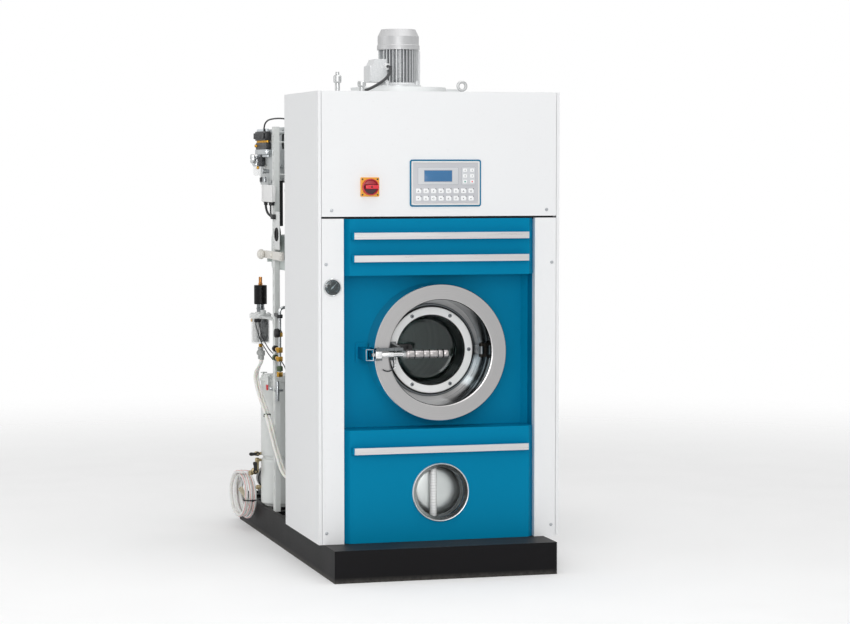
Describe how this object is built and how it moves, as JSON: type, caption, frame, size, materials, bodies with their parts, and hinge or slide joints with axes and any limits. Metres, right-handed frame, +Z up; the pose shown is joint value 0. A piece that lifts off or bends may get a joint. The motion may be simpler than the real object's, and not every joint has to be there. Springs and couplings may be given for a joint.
{
  "type": "dry cleaning machine",
  "caption": "Front-loading dry cleaning machine with a deep polished door well, white cabinet with blue panels, open machinery bay behind, fan motor on top and a coiled drain hose.",
  "frame": {"origin": "on the floor, on the cabinet's centre plane, midway along the base tray", "axes": "+X to the machine's right seen from the front, +Y to the back, +Z up"},
  "size_m": [0.941, 1.656, 1.948],
  "materials": {
    "base_paint": "satin black powder paint, slightly dusty",
    "bay_paint": "pale grey-green enamel",
    "white_paint": "smooth white powder paint",
    "blue_paint": "satin blue-teal powder paint",
    "bright_trim": "brushed lengthwise",
    "screw_zinc": "zinc plated, turned heads",
    "spun_steel": "spun stainless steel, circular brushing",
    "polished_steel": "polished stainless steel",
    "dark_steel": "bare cast steel, darkened",
    "door_steel": "machined stainless steel",
    "black_rubber": "matte black solvent-proof rubber",
    "door_glass": "clear pressed glass",
    "ring_enamel": "gloss white enamel",
    "grip_plastic": "turned dark grey plastic",
    "window_glass": "clear flat glass",
    "tank_steel": "rolled stainless sheet",
    "gauge_metal": "plated gauge case",
    "needle_black": "matte black",
    "switch_yellow": "moulded yellow plastic",
    "switch_red": "moulded red plastic",
    "unit_foil": "printed grey foil in a blue-green frame",
    "key_foil": "white embossed keys under foil",
    "tub_steel": "rolled stainless sheet",
    "drum_steel": "perforated polished stainless sheet",
    "cast_grey": "painted grey casting",
    "motor_paint": "blue-grey motor enamel",
    "belt_rubber": "matte black belt",
    "galvanised": "galvanised sheet",
    "motor_alloy": "die-cast alloy under grey enamel",
    "cowl_steel": "pressed steel, grey enamel",
    "cable_black": "black cable jacket",
    "fitting_steel": "turned and plated",
    "filter_paint": "pale grey-green enamel",
    "valve_bronze": "pale nickel bronze",
    "lever_black": "black coated lever",
    "bowl_glass": "clear glass",
    "head_alloy": "cast alloy",
    "plate_grey": "grey enamel",
    "coil_black": "black moulded coils",
    "clear_hose": "translucent hoses and bright pipe",
    "hose_white": "white hose with a red stripe",
    "fitting_beige": "moulded beige fitting",
    "box_paint": "pale enamel",
    "bar_beige": "yellowish zinc",
    "still_steel": "satin stainless vessel",
    "compressor_black": "black enamel"
  },
  "bodies": {
    "machine": {"base_tray": "base_paint", "bay_frame": "bay_paint", "left_side_panel": "white_paint", "right_side_panel": "white_paint", "cabinet_roof": "white_paint", "upper_cover": "white_paint", "left_column": "white_paint", "right_column": "white_paint", "upper_panel": "blue_paint", "middle_panel": "blue_paint", "lower_panel": "blue_paint", "trim_strips": "bright_trim", "panel_screws": "screw_zinc", "door_collar": "spun_steel", "door_hinge": "dark_steel", "latch_keeper": "blue_paint", "window_rim": "polished_steel", "window_glass": "window_glass", "solvent_tank": "tank_steel", "pressure_gauge": "gauge_metal", "switch_plate": "switch_yellow", "control_unit": "unit_foil", "control_keys": "key_foil", "tub": "tub_steel", "bearing_housing": "cast_grey", "drive_motor": "motor_paint", "drive_belt": "belt_rubber", "air_casing": "galvanised", "fan_housing": "galvanised", "fan_motor": "motor_alloy", "fan_cowl": "cowl_steel", "motor_cable": "cable_black", "roof_fittings": "fitting_steel", "filter_housing": "filter_paint", "drain_valves": "valve_bronze", "separator_glass": "bowl_glass", "separator_head": "head_alloy", "pneumatic_plate": "plate_grey", "solenoid_valves": "coil_black", "bay_pipes": "clear_hose", "drain_hose": "hose_white", "hose_fitting": "fitting_beige", "lint_filter": "box_paint", "still": "still_steel", "compressor": "compressor_black"},
    "door": {"door_frame": "door_steel", "door_gasket": "black_rubber", "door_glass": "door_glass", "clamp_ring": "ring_enamel"},
    "latch": {"latch_lever": "polished_steel", "latch_grip": "grip_plastic"},
    "needle": {"gauge_needle": "needle_black"},
    "knob": {"switch_knob": "switch_red"},
    "drum_group": {"drum": "drum_steel", "drum_pulley": "cast_grey"},
    "motor_pulley_group": {"motor_pulley": "cast_grey"},
    "fan_group": {"fan_rotor": "fitting_steel"},
    "upper_handle": {"upper_lever": "lever_black"},
    "lower_handle": {"lower_lever": "lever_black"},
    "lint_bar": {"latch_bar": "bar_beige"}
  },
  "joints": [
    {"name": "door_swing", "type": "hinge", "parent": "machine", "child": "door", "pos_m": [0.172, -0.608, 0.779], "axis": [0, 0, 1], "range_deg": [0, 95]},
    {"name": "latch_turn", "type": "hinge", "parent": "door", "child": "latch", "pos_m": [-0.23, -0.695, 0.7765], "axis": [0, 0, 1], "range_deg": [-82, 0]},
    {"name": "switch_turn", "type": "hinge", "parent": "machine", "child": "knob", "pos_m": [-0.256, -0.676, 1.361], "axis": [0, 1, 0], "range_deg": [0, 90]},
    {"name": "gauge_sweep", "type": "hinge", "parent": "machine", "child": "needle", "pos_m": [-0.39, -0.676, 1.013], "axis": [0, 1, 0], "range_deg": [0, 270]},
    {"name": "drum_spin", "type": "hinge", "parent": "machine", "child": "drum_group", "pos_m": [0, 0, 0.779], "axis": [0, 1, 0], "continuous": true},
    {"name": "motor_spin", "type": "hinge", "parent": "machine", "child": "motor_pulley_group", "pos_m": [0.22, 0.16, 0.33], "axis": [0, 1, 0], "continuous": true},
    {"name": "fan_spin", "type": "hinge", "parent": "machine", "child": "fan_group", "pos_m": [0.04, 0.044, 1.65], "axis": [0, 0, 1], "continuous": true},
    {"name": "upper_valve_turn", "type": "hinge", "parent": "machine", "child": "upper_handle", "pos_m": [-0.437, 0.383, 0.315], "axis": [0, 1, 0], "range_deg": [0, 90]},
    {"name": "lower_valve_turn", "type": "hinge", "parent": "machine", "child": "lower_handle", "pos_m": [-0.447, 0.376, 0.247], "axis": [0, 1, 0], "range_deg": [-90, 0]},
    {"name": "lint_bar_turn", "type": "hinge", "parent": "machine", "child": "lint_bar", "pos_m": [-0.414, 0.034, 1.095], "axis": [1, 0, 0], "range_deg": [0, 80]}
  ],
  "couplings": [
    {"joint": "motor_spin", "follows": "drum_spin", "ratio": 5.0222}
  ]
}
